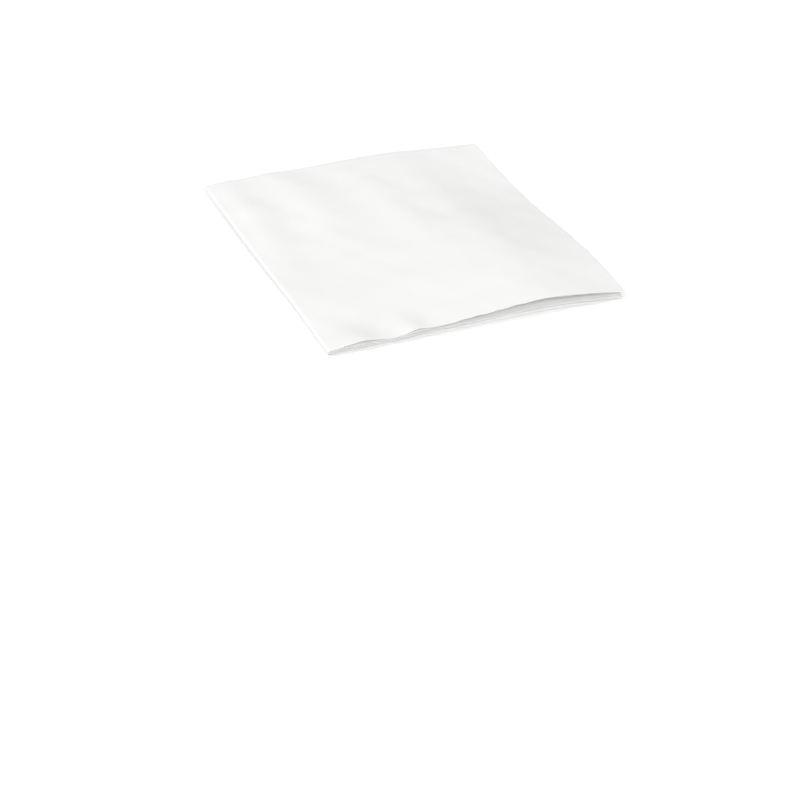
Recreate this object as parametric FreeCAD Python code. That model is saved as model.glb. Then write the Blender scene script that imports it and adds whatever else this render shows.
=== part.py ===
import FreeCAD, Part

import math
import os

# A paper napkin: one square sheet folded in half twice, lying loose on a table.
#
# X runs across the napkin, from the last fold on the left to the open edge on the right. Y runs along it,
# from the open front edge to the first fold at the rear. Z is up. The origin is under the middle of its box.
#
# From the top, the four layers are called upper outer, upper inner, lower inner and lower outer. The first
# fold joins each outer layer to the inner layer beside it. The last fold joins the upper two to the lower two.

# Driving dimensions, in millimetres: alias, value, what it is
DIMENSIONS = [
    ("sheet_side", 320.0, "side of the square sheet, laid flat"),
    ("paper_thickness", 0.2, "thickness of the embossed tissue"),
    ("layer_pitch", 0.8, "height from layer to layer where the folds hold them together"),
    ("first_fold_miss", 0.5, "how far the first fold misses the middle of the sheet"),
    ("last_fold_miss", 0.8, "how far the last fold misses the middle of the folded strip at the front"),
    ("last_fold_skew", 0.8, "how much less it misses it at the rear, which turns the halves' front edges apart"),
    ("rear_rise", 5.0, "how much higher the upper half lies at the rear edge than at the front"),
    ("front_arch", 5.4, "height of the broad arch behind the front edge"),
    ("rear_arch", 1.4, "height of the arch along the rear edge"),
    ("side_dip", 3.7, "depth of the dip in the open right edge"),
    ("corner_droop", 3.2, "how far the open corner droops"),
    ("fold_puff", 1.2, "how far the last fold puffs up behind its front corner"),
    ("first_ridge", 1.5, "height of the ridge beside the last fold"),
    ("second_ridge", 1.6, "height of the second ridge"),
    ("third_ridge", 1.1, "height of the third, faint ridge"),
    ("fourth_ridge", 1.5, "height of the long ridge near the open right edge"),
    ("left_lip", 2.3, "how far the top layer's front edge curls up near the last fold"),
    ("right_lip", 1.7, "how far it curls up again further right"),
    ("corner_fan", 1.5, "how far the two pairs of layers part at the open corner"),
    ("fold_hold", 6.0, "how far from the last fold the fold keeps the sheet straight"),
    ("fold_lift", 41.6, "how far from it the fold keeps the lower half off the table"),
    ("column_pitch", 8.0, "spacing of the surfaces' control points across the napkin"),
    ("row_pitch", 40.0, "and along it"),
]

# Where the swells of the upper half lie, as shares of the napkin's side.
# alias of its height, across, along, half width, half length, lean, bow, sign
SWELLS = [
    ("front_arch", 0.68, 0.1, 0.26, 0.53, 0.0, 0.0, 1),
    ("rear_arch", 0.56, 1.02, 0.26, 0.22, 0.0, 0.0, 1),
    ("side_dip", 1.02, 0.69, 0.25, 0.2, 0.0, 0.0, -1),
    ("corner_droop", 1.03, -0.03, 0.12, 0.12, 0.0, 0.0, -1),
    ("fold_puff", 0.0, 0.25, 0.14, 0.14, 0.0, 0.0, 1),
]
RIDGES = [
    ("first_ridge", 0.075, 0.74, 0.055, 0.27, 0.0, 0.043, 1),
    ("second_ridge", 0.295, 0.76, 0.06, 0.25, -0.03, 0.06, 1),
    ("third_ridge", 0.54, 0.64, 0.05, 0.22, -0.03, 0.0, 1),
    ("fourth_ridge", 0.73, 0.44, 0.07, 0.38, -0.01, 0.03, 1),
]
LIPS = [
    ("left_lip", 0.105, -0.01, 0.045, 0.055, 0.0, 0.0, 1),
    ("right_lip", 0.285, -0.01, 0.026, 0.05, 0.0, 0.0, 1),
]
CORNER = ("corner_fan", 1.0, 0.0, 0.16, 0.16, 0.0, 0.0, 1)

# The lower half sags on to the table: fully at the rear, and by this share at the front
FRONT_SAG = 0.5

# Degree of the splines, the fewest spans they have, and how far their control points crowd to the front
DEGREE = 3
FEWEST_SPANS = 2
CROWDING = 1.2

# A pressed fold goes round in this many narrow flats
FOLD_FLATS = 4


def make_sheet(doc):
    """The spreadsheet that holds the driving dimensions."""
    sheet = doc.addObject("Spreadsheet::Sheet", "Dimensions")
    for row, (alias, value, meaning) in enumerate(DIMENSIONS, start=1):
        sheet.set(f"A{row}", meaning)
        sheet.set(f"B{row}", str(value))
        sheet.setAlias(f"B{row}", alias)
    doc.recompute()
    return {alias: float(sheet.get(alias)) for alias, _, _ in DIMENSIONS}


class FoldedSheet:
    """Turns a place on the sheet into a point in space."""

    def __init__(self, size):
        self.size = size
        self.side = size["sheet_side"] / 2
        self.pitch = size["layer_pitch"]
        # half the distance between the two pairs of layers, where the last fold holds them
        self.last_radius = self.pitch
        # half the distance between the two layers of a pair, where the first fold holds them
        self.first_radius = self.pitch / 2
        self.last_centre = self.last_radius + self.first_radius + size["paper_thickness"] / 2
        self.first_centre = self.side - math.pi / 2 * self.first_radius

    def swell(self, place, across, along):
        """One smooth swell, at its full height in its middle."""
        height, middle, centre, half_width, half_length, lean, bow, sign = place
        ahead = (along - centre) / half_length
        aside = (across - middle - lean * ahead + bow * ahead ** 2) / half_width
        return sign * self.size[height] * math.exp(-(aside ** 2 + ahead ** 2) / 2)

    def away(self, from_fold, reach):
        """How free of the last fold's hold the sheet is: 0 at the fold, and 1 far beyond the hold's reach."""
        return 1 - math.exp(-((from_fold / self.size[reach]) ** 2) / 2)

    def lift(self, across, along):
        """How far the upper half is lifted above a flat, pressed napkin."""
        free = self.away(across * self.side, "fold_hold")
        broad = sum(self.swell(place, across, along) for place in SWELLS)
        ridges = sum(self.swell(place, across, along) for place in RIDGES)
        return self.size["rear_rise"] * along + broad + free * ridges

    def heights(self, x, y):
        """Middle height and spacing of the upper pair, then of the lower pair."""
        from_fold = max(x, 0)
        across = from_fold / self.side
        along = y / self.side
        lift = self.lift(across, along)
        sag = self.away(from_fold, "fold_lift") * (FRONT_SAG + (1 - FRONT_SAG) * along)
        fan = self.swell(CORNER, across, along)
        lips = sum(self.swell(place, across, along) for place in LIPS)
        upper_spacing = self.pitch + lips
        top = 3 * self.pitch + lift + fan + lips
        bottom = lift * (1 - sag)
        return top - upper_spacing / 2, upper_spacing, bottom + self.pitch / 2, self.pitch

    def point(self, run, turn, reach, wrap, skin):
        """A control point.

        run: share of the way from the last fold to the open right edge, 0 on the fold itself
        turn: (cosine, sine) round the last fold, (1, 0) in the upper half and (-1, 0) in the lower
        reach: share of the way from the open front edge to the first fold, 1 on the fold itself
        wrap: (cosine, sine) round the first fold, (1, 0) in the outer layers and (-1, 0) in the inner
        skin: distance from the middle of the paper, positive on the outside of the folds
        """
        turn_cos, turn_sin = turn
        wrap_cos, wrap_sin = wrap
        middle_radius = self.last_radius + self.first_radius * wrap_cos
        miss = self.size["last_fold_miss"] - self.size["last_fold_skew"] * reach
        run_length = self.side - math.pi / 2 * middle_radius + miss * turn_cos
        radius = middle_radius + skin * wrap_cos
        x = self.last_centre + run * run_length - radius * turn_sin
        front = -self.size["first_fold_miss"] * wrap_cos
        y = front + (self.first_centre - front) * reach + (self.first_radius + skin) * wrap_sin
        y += self.size["last_fold_skew"] * run * turn_cos
        upper, upper_spacing, lower, lower_spacing = self.heights(x, y)
        spacing = (upper_spacing + lower_spacing) / 2 + (upper_spacing - lower_spacing) / 2 * turn_cos
        half_gap = (upper - lower) / 2
        z = (upper + lower) / 2 + (half_gap + (spacing / 2 + skin) * wrap_cos) * turn_cos
        return FreeCAD.Vector(x, y, z)


def even_knots(spans):
    """Knots and their counts for a spline that is pinned at both ends."""
    knots = [float(k) for k in range(spans + 1)]
    counts = [DEGREE + 1] + [1] * (spans - 1) + [DEGREE + 1]
    return knots, counts


def control_shares(spans):
    """Where the control points of such a spline lie, as shares of its length."""
    knots, counts = even_knots(spans)
    full = [knot for knot, count in zip(knots, counts) for _ in range(count)]
    return [sum(full[i + 1:i + 1 + DEGREE]) / DEGREE / spans for i in range(spans + DEGREE)]


STRIP_KNOTS = ([0.0, 1.0], [2, 2])


def fold_flats(place):
    """The flats of a fold, one after another, each from one (cosine, sine) to the next."""
    angles = [math.pi * k / FOLD_FLATS for k in range(FOLD_FLATS + 1)]
    corners = [(math.cos(angle), math.sin(angle)) for angle in angles]
    return [([(place, start), (place, end)], STRIP_KNOTS) for start, end in zip(corners, corners[1:])]


def make_face(rows, row_knots, column_knots):
    """A spline face through rows of control points."""
    surface = Part.BSplineSurface()
    row_degree = row_knots[1][0] - 1
    column_degree = column_knots[1][0] - 1
    surface.buildFromPolesMultsKnots(
        rows, row_knots[1], column_knots[1], row_knots[0], column_knots[0],
        False, False, row_degree, column_degree,
    )
    return surface.toShape()


def make_napkin(size):
    """The folded sheet as one closed solid."""
    folded = FoldedSheet(size)
    half_paper = size["paper_thickness"] / 2
    spans_across = max(FEWEST_SPANS, round(folded.side / size["column_pitch"]))
    spans_along = max(FEWEST_SPANS, round(folded.side / size["row_pitch"]))
    shares_across = control_shares(spans_across)
    shares_along = [share ** CROWDING for share in control_shares(spans_along)]

    # Stretches of the sheet one way: the upper half, round the last fold, the lower half
    across = [
        ([(share, (1, 0)) for share in shares_across], even_knots(spans_across)),
        *fold_flats(0),
        ([(share, (-1, 0)) for share in shares_across], even_knots(spans_across)),
    ]
    # and the other way: the outer layers, round the first fold, the inner layers
    along = [
        ([(share, (1, 0)) for share in shares_along], even_knots(spans_along)),
        *fold_flats(1),
        ([(share, (-1, 0)) for share in shares_along], even_knots(spans_along)),
    ]

    faces = []
    for runs, run_knots in across:
        for reaches, reach_knots in along:
            for skin in (half_paper, -half_paper):
                rows = [[folded.point(run, turn, reach, wrap, skin) for reach, wrap in reaches]
                        for run, turn in runs]
                faces.append(make_face(rows, run_knots, reach_knots))

    # The cut edges: right, then front
    for turn in ((1, 0), (-1, 0)):
        for reaches, reach_knots in along:
            rows = [[folded.point(1, turn, reach, wrap, skin) for reach, wrap in reaches]
                    for skin in (half_paper, -half_paper)]
            faces.append(make_face(rows, STRIP_KNOTS, reach_knots))
    for wrap in ((1, 0), (-1, 0)):
        for runs, run_knots in across:
            rows = [[folded.point(run, turn, 0, wrap, skin) for run, turn in runs]
                    for skin in (half_paper, -half_paper)]
            faces.append(make_face(rows, STRIP_KNOTS, run_knots))

    shell = Part.makeShell(faces)
    shell.sewShape()
    solid = Part.makeSolid(shell)
    if solid.Volume < 0:
        solid.reverse()
    return solid


def add_napkin(doc, size):
    """The napkin as an object of the document, resting on the table with the origin under its middle."""
    solid = make_napkin(size)
    napkin = doc.addObject("Part::Feature", "Napkin")
    napkin.Label = "napkin"
    napkin.Shape = solid
    box = solid.optimalBoundingBox(False, False)
    napkin.Placement = FreeCAD.Placement(
        FreeCAD.Vector(-box.Center.x, -box.Center.y, -box.ZMin), FreeCAD.Rotation()
    )
    return napkin


def check(doc, pieces):
    """Stops if any object failed or any piece is not a sound solid."""
    for item in doc.Objects:
        bad = {"Invalid", "Error"} & set(item.State)
        if bad:
            raise RuntimeError(f"{item.Label}: {bad}")
    for piece in pieces:
        shape = piece.Shape
        if shape.isNull() or not shape.isValid() or len(shape.Solids) != 1:
            raise RuntimeError(f"{piece.Label} is not one sound solid")


def main():
    doc = FreeCAD.newDocument("PaperNapkin")
    size = make_sheet(doc)
    pieces = [add_napkin(doc, size)]
    doc.recompute()
    check(doc, pieces)
    os.makedirs("parts", exist_ok=True)
    for piece in pieces:
        piece.Shape.exportStep(f"parts/{piece.Label}.step")
        box = piece.Shape.optimalBoundingBox(False, False)
        print(piece.Label, f"{box.XLength:.2f} x {box.YLength:.2f} x {box.ZLength:.2f} mm",
              f"volume {piece.Shape.Volume:.0f} mm3, area {piece.Shape.Area:.0f} mm2")


main()
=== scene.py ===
import math

import bpy
import numpy as np
from mathutils import Matrix, Vector


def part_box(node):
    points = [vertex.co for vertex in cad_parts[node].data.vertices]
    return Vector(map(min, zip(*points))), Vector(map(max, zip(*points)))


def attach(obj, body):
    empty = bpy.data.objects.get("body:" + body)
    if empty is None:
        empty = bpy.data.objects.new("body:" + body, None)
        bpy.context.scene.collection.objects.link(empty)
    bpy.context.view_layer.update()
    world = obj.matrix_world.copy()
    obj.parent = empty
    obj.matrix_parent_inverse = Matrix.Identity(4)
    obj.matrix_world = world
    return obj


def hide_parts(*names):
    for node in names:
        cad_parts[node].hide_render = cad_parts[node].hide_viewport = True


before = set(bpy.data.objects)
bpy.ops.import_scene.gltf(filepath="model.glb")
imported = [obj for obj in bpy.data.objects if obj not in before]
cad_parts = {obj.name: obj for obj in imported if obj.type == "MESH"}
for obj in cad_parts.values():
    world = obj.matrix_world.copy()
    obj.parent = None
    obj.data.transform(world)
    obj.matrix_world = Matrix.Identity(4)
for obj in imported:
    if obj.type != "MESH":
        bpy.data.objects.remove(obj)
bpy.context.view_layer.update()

# A paper napkin: one square sheet of white tissue, folded in half twice, lying loose on a pale
# floor. Lengths are in metres. X runs from the last fold on the left to the open right edge, and
# Y from the open front edge to the first fold at the rear.
MM = 0.001

# The sheet, as in the part
SHEET_SIDE = 320 * MM       # laid flat
SIDE = SHEET_SIDE / 2       # folded in four
PAPER = 0.2 * MM            # its thickness
PITCH = 0.8 * MM            # from layer to layer where the folds hold them together
FIRST_FOLD_MISS = 0.5 * MM  # how far the first fold misses the middle of the sheet
LAST_FOLD_MISS = 0.8 * MM   # how far the last fold misses the middle of the strip at the front
LAST_FOLD_SKEW = 0.8 * MM   # how much less it misses it at the rear
REAR_RISE = 5.0 * MM        # how much higher the upper half lies at the rear than at the front
FOLD_HOLD = 6.0 * MM        # how far from the last fold the sheet is kept straight
FOLD_LIFT = 41.6 * MM       # how far from it the lower half is kept off the floor
FRONT_SAG = 0.5             # the share by which the lower half sags at the front; 1 at the rear

# Radii of the folds, to the middle of the paper, and where their centre lines lie
LAST_RADIUS = PITCH
FIRST_RADIUS = PITCH / 2
LAST_CENTRE = LAST_RADIUS + FIRST_RADIUS + PAPER / 2
FIRST_CENTRE = SIDE - math.pi / 2 * FIRST_RADIUS


class Swell:
    """A smooth swell of the upper half. Its place and widths are shares of the napkin's side."""

    def __init__(self, height, across, along, half_width, half_length, lean=0.0, bow=0.0):
        self.height = height
        self.across, self.along = across, along
        self.half_width, self.half_length = half_width, half_length
        self.lean, self.bow = lean, bow

    def at(self, across, along):
        ahead = (along - self.along) / self.half_length
        aside = (across - self.across - self.lean * ahead + self.bow * ahead ** 2) / self.half_width
        return self.height * np.exp(-(aside ** 2 + ahead ** 2) / 2)


BROAD_SWELLS = [
    Swell(5.4 * MM, 0.68, 0.1, 0.26, 0.53),     # the arch behind the front edge
    Swell(1.4 * MM, 0.56, 1.02, 0.26, 0.22),    # the arch along the rear edge
    Swell(-3.7 * MM, 1.02, 0.69, 0.25, 0.2),    # the dip in the open right edge
    Swell(-3.2 * MM, 1.03, -0.03, 0.12, 0.12),  # the droop of the open corner
    Swell(1.2 * MM, 0.0, 0.25, 0.14, 0.14),     # the puff of the last fold
]
# From left to right
RIDGES = [
    Swell(1.5 * MM, 0.075, 0.74, 0.055, 0.27, bow=0.043),
    Swell(1.6 * MM, 0.295, 0.76, 0.06, 0.25, lean=-0.03, bow=0.06),
    Swell(1.1 * MM, 0.54, 0.64, 0.05, 0.22, lean=-0.03),
    Swell(1.5 * MM, 0.73, 0.44, 0.07, 0.38, lean=-0.01, bow=0.03),
]
# Where the top layer's front edge curls up
LIPS = [
    Swell(2.3 * MM, 0.105, -0.01, 0.045, 0.055),
    Swell(1.7 * MM, 0.285, -0.01, 0.026, 0.05),
]
# Where the two pairs of layers part at the open corner
CORNER_FAN = Swell(1.5 * MM, 1.0, 0.0, 0.16, 0.16)

# Small uneven ripples that make no two layers alike, and how far the cut edges stray from straight
RIPPLE_HEIGHT = 0.06 * MM
RIPPLE_LENGTHS = (11 * MM, 45 * MM)
RIPPLE_COUNT = 24
EDGE_STRAY = 0.14 * MM
STRAY_LENGTHS = (5 * MM, 30 * MM)
STRAY_COUNT = 10
STRAY_DEPTH = 5 * MM
SEED = 4

# Steps of the mesh: across and along each layer, and round each fold
ACROSS = 112
ALONG = 98
ROUND_FOLD = 8

# The attribute that holds each point's place on the unfolded sheet, for the embossing and the fibres
FLAT_PLACE = "flat_place"


def total(swells, across, along):
    return sum(swell.at(across, along) for swell in swells)


def away(from_fold, reach):
    """How free of the last fold's hold the sheet is: 0 at the fold, 1 far beyond the reach."""
    return 1 - np.exp(-((from_fold / reach) ** 2) / 2)


def heights(x, y):
    """Middle height and spacing of the upper pair of layers, then of the lower pair."""
    from_fold = np.maximum(x, 0)
    across = from_fold / SIDE
    along = y / SIDE
    ridges = away(from_fold, FOLD_HOLD) * total(RIDGES, across, along)
    lift = REAR_RISE * along + total(BROAD_SWELLS, across, along) + ridges
    sag = away(from_fold, FOLD_LIFT) * (FRONT_SAG + (1 - FRONT_SAG) * along)
    fan = CORNER_FAN.at(across, along)
    lips = total(LIPS, across, along)
    upper_spacing = PITCH + lips
    top = 3 * PITCH + lift + fan + lips
    bottom = lift * (1 - sag)
    return top - upper_spacing / 2, upper_spacing, bottom + PITCH / 2, PITCH


def random_waves(chance, count, lengths):
    """Wave numbers in random directions, and their phases."""
    length = np.exp(chance.uniform(np.log(lengths[0]), np.log(lengths[1]), count))
    heading = chance.uniform(0, math.pi, count)
    wave = 2 * math.pi / length
    return wave * np.cos(heading), wave * np.sin(heading), chance.uniform(0, 2 * math.pi, count)


def uneven(flat_x, flat_y, waves):
    """A smooth random surface over the unfolded sheet, of about unit height."""
    across, along, phase = waves
    angle = flat_x[..., None] * across + flat_y[..., None] * along + phase
    return np.cos(angle).sum(axis=-1) * math.sqrt(2 / len(phase))


def flat_places(run, turn, reach, wrap):
    """Where the columns and rows lie on the unfolded sheet, measured from its two folds."""
    across = SIDE * run * np.sign(np.cos(turn)) + LAST_RADIUS * (math.pi / 2 - turn)
    along = FIRST_RADIUS * (wrap - math.pi / 2) + SIDE * (1 - reach) * np.sign(wrap - math.pi / 2)
    flat_x, flat_y = np.broadcast_arrays(across[:, None], along[None, :])
    return flat_x, flat_y


def roughen(points, flat_x, flat_y):
    """Adds the ripples and the stray of the cut edges."""
    chance = np.random.default_rng(SEED)
    ripples = random_waves(chance, RIPPLE_COUNT, RIPPLE_LENGTHS)
    points[..., 2] += RIPPLE_HEIGHT * uneven(flat_x, flat_y, ripples)
    for axis, flat in ((0, flat_x), (1, flat_y)):
        waves = random_waves(chance, STRAY_COUNT, STRAY_LENGTHS)
        stray = EDGE_STRAY * uneven(flat_x, flat_y, waves)
        points[..., axis] += stray * np.exp((np.abs(flat) - SIDE) / STRAY_DEPTH)


def sheet_points(run, turn, reach, wrap, skin):
    """Points of one face of the paper.

    run: share of the way from the last fold to the open right edge, for each column
    turn: angle round the last fold, 0 in the upper half and pi in the lower, for each column
    reach: share of the way from the open front edge to the first fold, for each row
    wrap: angle round the first fold, 0 in the outer layers and pi in the inner, for each row
    skin: distance from the middle of the paper, positive on the outside of the folds
    """
    run, turn = run[:, None], turn[:, None]
    reach, wrap = reach[None, :], wrap[None, :]
    middle_radius = LAST_RADIUS + FIRST_RADIUS * np.cos(wrap)
    miss = LAST_FOLD_MISS - LAST_FOLD_SKEW * reach
    run_length = SIDE - math.pi / 2 * middle_radius + miss * np.cos(turn)
    radius = middle_radius + skin * np.cos(wrap)
    x = LAST_CENTRE + run * run_length - radius * np.sin(turn)
    front = -FIRST_FOLD_MISS * np.cos(wrap)
    y = front + (FIRST_CENTRE - front) * reach + (FIRST_RADIUS + skin) * np.sin(wrap)
    y = y + LAST_FOLD_SKEW * run * np.cos(turn)
    upper, upper_spacing, lower, lower_spacing = heights(x, y)
    spacing = ((upper_spacing + lower_spacing) / 2
               + (upper_spacing - lower_spacing) / 2 * np.cos(turn))
    half_gap = (upper - lower) / 2
    z = (upper + lower) / 2 + (half_gap + (spacing / 2 + skin) * np.cos(wrap)) * np.cos(turn)
    return np.stack([x, y, z], axis=-1)


def columns_and_rows():
    """run and turn of each column, and reach and wrap of each row, along the unfolded sheet."""
    shares = np.linspace(0, 1, ACROSS + 1)
    angles = np.linspace(0, math.pi, ROUND_FOLD + 1)
    run = np.concatenate([shares[::-1], np.zeros(ROUND_FOLD - 1), shares])
    turn = np.concatenate([np.zeros(ACROSS), angles, np.full(ACROSS, math.pi)])
    shares = np.linspace(0, 1, ALONG + 1)
    reach = np.concatenate([shares, np.ones(ROUND_FOLD - 1), shares[::-1]])
    wrap = np.concatenate([np.zeros(ALONG), angles, np.full(ALONG, math.pi)])
    return run, turn, reach, wrap


def in_place(points):
    """The points moved to where the solid lies: the same middle in plan, on the same floor."""
    low, high = (np.array(corner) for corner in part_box("napkin"))
    own_low, own_high = points.min(axis=0), points.max(axis=0)
    shift = (low + high) / 2 - (own_low + own_high) / 2
    shift[2] = low[2] - own_low[2]
    return points + shift


def numbered(count_across, count_along):
    """The numbers of the points of one face of the paper, by column and row."""
    return np.arange(count_across * count_along).reshape(count_across, count_along)


def grid_faces(index):
    """The quads between neighbouring columns and rows of one face of the paper."""
    corners = [index[:-1, :-1], index[1:, :-1], index[1:, 1:], index[:-1, 1:]]
    return np.stack([corner.ravel() for corner in corners], axis=-1)


def rim(index):
    """The points round the sheet's four cut edges, in order, and the point after each."""
    edge = np.concatenate([index[:-1, 0], index[-1, :-1], index[:0:-1, -1], index[0, :0:-1]])
    return edge, np.roll(edge, -1)


def sharpen_rims(mesh, index):
    """Keeps both rims of the cut edges sharp in the smooth shading."""
    on_rim = set()
    for face in (index, index + index.size):
        edge, ahead = rim(face)
        on_rim.update(frozenset(pair) for pair in zip(edge.tolist(), ahead.tolist()))
    sharp = mesh.attributes.new("sharp_edge", "BOOLEAN", "EDGE")
    for line in mesh.edges:
        sharp.data[line.index].value = frozenset(line.vertices) in on_rim


def make_napkin(material):
    run, turn, reach, wrap = columns_and_rows()
    flat_x, flat_y = flat_places(run, turn, reach, wrap)
    outside = sheet_points(run, turn, reach, wrap, PAPER / 2)
    inside = sheet_points(run, turn, reach, wrap, -PAPER / 2)
    roughen(outside, flat_x, flat_y)
    roughen(inside, flat_x, flat_y)
    points = in_place(np.concatenate([outside.reshape(-1, 3), inside.reshape(-1, 3)]))

    index = numbered(*flat_x.shape)
    quads = grid_faces(index)
    edge, ahead = rim(index)
    strip = np.stack([ahead, edge, edge + index.size, ahead + index.size], axis=-1)
    faces = np.concatenate([quads, quads[:, ::-1] + index.size, strip])

    mesh = bpy.data.meshes.new("napkin_tissue")
    mesh.from_pydata(points.tolist(), [], faces.tolist())
    mesh.validate()
    mesh.shade_smooth()
    sharpen_rims(mesh, index)

    flat = np.stack([flat_x, flat_y, 0 * flat_x], axis=-1)
    place = mesh.attributes.new(FLAT_PLACE, "FLOAT_VECTOR", "POINT")
    place.data.foreach_set("vector", np.stack([flat, flat]).ravel())
    mesh.materials.append(material)

    piece = bpy.data.objects.new("napkin_tissue", mesh)
    bpy.context.scene.collection.objects.link(piece)
    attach(piece, "root")
    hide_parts("napkin")


def new_material(name):
    material = bpy.data.materials.new(name)
    material.use_nodes = True
    material.node_tree.nodes.clear()
    return material, material.node_tree.nodes, material.node_tree.links


# The tissue's surface: dots of embossing, crepe and clouds of fibre
EMBOSS_PITCH = 1.3 * MM
EMBOSS_DEPTH = 0.022 * MM
CREPE_PITCH = 0.45 * MM
CREPE_LENGTH = 2.5 * MM
CREPE_DEPTH = 0.012 * MM
CREPE_DETAIL = 3.0
CLOUD_SIZE = 6.0 * MM
CLOUD_DETAIL = 5.0
CLOUD_WHITES = ((0.912, 0.912, 0.906, 1), (0.934, 0.934, 0.928, 1))
ROUGHNESS = 0.9
SPECULAR = 0.2


def tissue_material():
    """White tissue: fine all-over dot embossing, the crepe of the paper and faint fibre clouds."""
    material, nodes, links = new_material("white_tissue")
    place = nodes.new("ShaderNodeAttribute")
    place.attribute_name = FLAT_PLACE

    def work_out(operation, *values):
        node = nodes.new("ShaderNodeMath")
        node.operation = operation
        for socket, value in zip(node.inputs, values):
            if isinstance(value, bpy.types.NodeSocket):
                links.new(value, socket)
            else:
                socket.default_value = value
        return node.outputs[0]

    def noise(length_across, length_along, detail):
        scaled = nodes.new("ShaderNodeVectorMath")
        scaled.operation = "MULTIPLY"
        scaled.inputs[1].default_value = (1 / length_across, 1 / length_along, 0)
        links.new(place.outputs["Vector"], scaled.inputs[0])
        texture = nodes.new("ShaderNodeTexNoise")
        texture.noise_dimensions = "2D"
        texture.inputs["Scale"].default_value = 1.0
        texture.inputs["Detail"].default_value = detail
        links.new(scaled.outputs["Vector"], texture.inputs["Vector"])
        return texture.outputs[0]

    split = nodes.new("ShaderNodeSeparateXYZ")
    links.new(place.outputs["Vector"], split.inputs[0])
    wave = 2 * math.pi / (EMBOSS_PITCH * math.sqrt(2))
    across, along = split.outputs["X"], split.outputs["Y"]
    falling = work_out("MULTIPLY", work_out("ADD", across, along), wave)
    rising = work_out("MULTIPLY", work_out("SUBTRACT", across, along), wave)
    dots = work_out("MULTIPLY", work_out("SINE", falling), work_out("SINE", rising))
    crepe = noise(CREPE_LENGTH, CREPE_PITCH, CREPE_DETAIL)
    height = work_out("ADD", work_out("MULTIPLY", dots, EMBOSS_DEPTH / 2),
                      work_out("MULTIPLY", crepe, CREPE_DEPTH))
    bump = nodes.new("ShaderNodeBump")
    bump.inputs["Distance"].default_value = 1.0
    links.new(height, bump.inputs["Height"])

    clouds = noise(CLOUD_SIZE, CLOUD_SIZE, CLOUD_DETAIL)
    shade = nodes.new("ShaderNodeMix")
    shade.data_type = "RGBA"
    shade.inputs["A"].default_value, shade.inputs["B"].default_value = CLOUD_WHITES
    links.new(clouds, shade.inputs["Factor"])

    output = nodes.new("ShaderNodeOutputMaterial")
    surface = nodes.new("ShaderNodeBsdfPrincipled")
    links.new(shade.outputs["Result"], surface.inputs["Base Color"])
    surface.inputs["Roughness"].default_value = ROUGHNESS
    surface.inputs["Specular IOR Level"].default_value = SPECULAR
    links.new(bump.outputs["Normal"], surface.inputs["Normal"])
    links.new(surface.outputs["BSDF"], output.inputs["Surface"])
    return material


def seen_rays(nodes, links):
    """1 for rays that show a surface to the eye, straight or by gloss or glass, 0 for the rest."""
    path = nodes.new("ShaderNodeLightPath")
    seen = path.outputs["Is Camera Ray"]
    for other in ("Is Glossy Ray", "Is Transmission Ray"):
        either = nodes.new("ShaderNodeMath")
        either.operation = "MAXIMUM"
        links.new(seen, either.inputs[0])
        links.new(path.outputs[other], either.inputs[1])
        seen = either.outputs[0]
    return seen


# The floor: its grey, the glow that lifts it to white for the eye, its half width, and how far it
# lies below the napkin's lowest point
FLOOR_COLOUR = 0.9
FLOOR_GLOW = 0.29
FLOOR_REACH = 0.6
FLOOR_DROP = 0.02 * MM


def floor_material():
    """A pale floor that is white to the eye and keeps the object's shadow."""
    material, nodes, links = new_material("pale_floor")
    output = nodes.new("ShaderNodeOutputMaterial")
    both = nodes.new("ShaderNodeAddShader")
    matt = nodes.new("ShaderNodeBsdfDiffuse")
    matt.inputs["Color"].default_value = (FLOOR_COLOUR, FLOOR_COLOUR, FLOOR_COLOUR, 1)
    glow = nodes.new("ShaderNodeEmission")
    strength = nodes.new("ShaderNodeMath")
    strength.operation = "MULTIPLY"
    strength.inputs[1].default_value = FLOOR_GLOW
    links.new(seen_rays(nodes, links), strength.inputs[0])
    links.new(strength.outputs[0], glow.inputs["Strength"])
    links.new(matt.outputs[0], both.inputs[0])
    links.new(glow.outputs[0], both.inputs[1])
    links.new(both.outputs[0], output.inputs["Surface"])
    return material


def make_floor():
    low, high = -FLOOR_REACH, FLOOR_REACH
    corners = [(low, low), (high, low), (high, high), (low, high)]
    mesh = bpy.data.meshes.new("floor")
    mesh.from_pydata([(x, y, -FLOOR_DROP) for x, y in corners], [], [(0, 1, 2, 3)])
    mesh.materials.append(floor_material())
    floor = bpy.data.objects.new("floor", mesh)
    bpy.context.scene.collection.objects.link(floor)


# The world's strength where it lights the napkin, and where it is seen past the floor
WORLD_LIGHT = 0.38
WORLD_SEEN = 1.0


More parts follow.
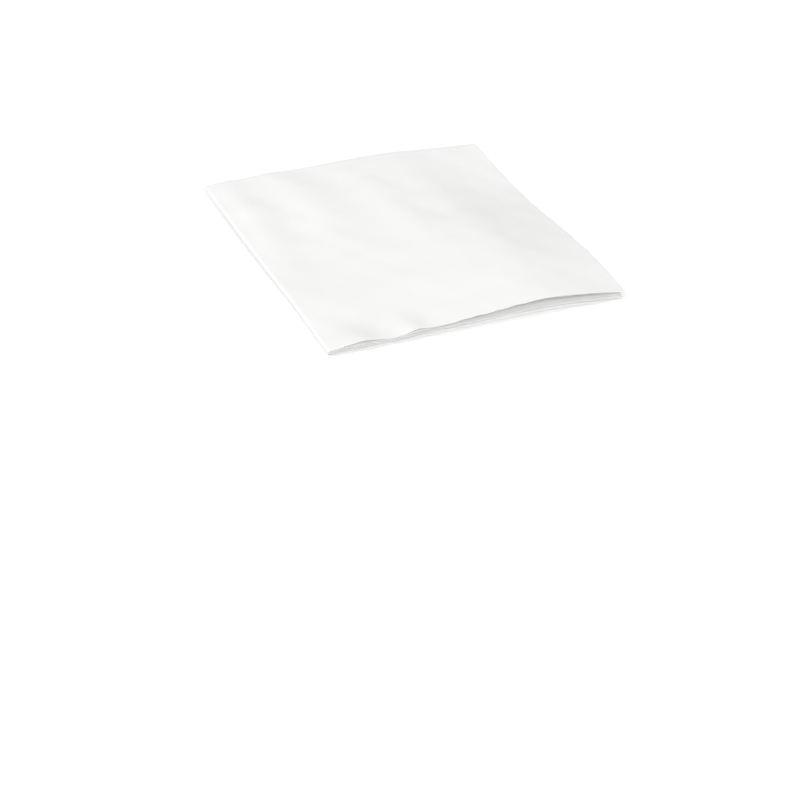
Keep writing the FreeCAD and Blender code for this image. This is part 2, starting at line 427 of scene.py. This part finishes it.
def make_world():
    """Even soft light from all round, and white to the eye."""
    world = bpy.data.worlds.new("studio")
    bpy.context.scene.world = world
    world.use_nodes = True
    nodes, links = world.node_tree.nodes, world.node_tree.links
    nodes.clear()
    output = nodes.new("ShaderNodeOutputWorld")
    back = nodes.new("ShaderNodeBackground")
    back.inputs["Color"].default_value = (1, 1, 1, 1)
    strength = nodes.new("ShaderNodeMapRange")
    strength.inputs["To Min"].default_value = WORLD_LIGHT
    strength.inputs["To Max"].default_value = WORLD_SEEN
    links.new(seen_rays(nodes, links), strength.inputs["Value"])
    links.new(strength.outputs["Result"], back.inputs["Strength"])
    links.new(back.outputs[0], output.inputs["Surface"])


# Each lamp's name, direction from the napkin, distance, width and power in watts
LAMPS = [
    ("key_lamp", (-0.65, 0.1, 0.75), 7.0, 4.0, 206.0),
    ("fill_lamp", (-0.1, -0.88, 0.55), 6.0, 4.4, 242.0),
]


def make_lamp(name, direction, distance, width, power):
    """A soft square lamp that faces the napkin."""
    data = bpy.data.lights.new(name, "AREA")
    data.shape = "SQUARE"
    data.size = width
    data.energy = power
    lamp = bpy.data.objects.new(name, data)
    place = Vector(direction).normalized() * distance
    lamp.location = place
    lamp.rotation_euler = place.to_track_quat("Z", "Y").to_euler()
    bpy.context.scene.collection.objects.link(lamp)


# The camera, fitted to the photograph: focal length in pixels of a frame 800 pixels wide, angles in
# degrees, and the rest in metres in the napkin's own frame
FRAME_PIXELS = 800
FOCAL_PIXELS = 1875
AZIMUTH = -28.4
ELEVATION = 34.2
ROLL = 4.8
DISTANCE = 0.8385
TARGET = (-0.0642, -0.1224, 0.0)
SENSOR_MM = 36.0
CLIP_START = 0.01


def make_camera():
    azimuth, elevation = math.radians(AZIMUTH), math.radians(ELEVATION)
    back = Vector((math.sin(azimuth) * math.cos(elevation),
                   -math.cos(azimuth) * math.cos(elevation),
                   math.sin(elevation)))
    roll = Matrix.Rotation(math.radians(ROLL), 3, "Z")
    turned = back.to_track_quat("Z", "Y").to_matrix() @ roll
    data = bpy.data.cameras.new("camera")
    data.sensor_width = SENSOR_MM
    data.lens = FOCAL_PIXELS / FRAME_PIXELS * SENSOR_MM
    data.clip_start = CLIP_START
    camera = bpy.data.objects.new("camera", data)
    place = Vector(TARGET) + back * DISTANCE
    camera.matrix_world = Matrix.Translation(place) @ turned.to_4x4()
    bpy.context.scene.collection.objects.link(camera)
    bpy.context.scene.camera = camera


bpy.context.scene.view_settings.view_transform = "Standard"
make_napkin(tissue_material())
make_floor()
make_world()
for lamp_values in LAMPS:
    make_lamp(*lamp_values)
make_camera()
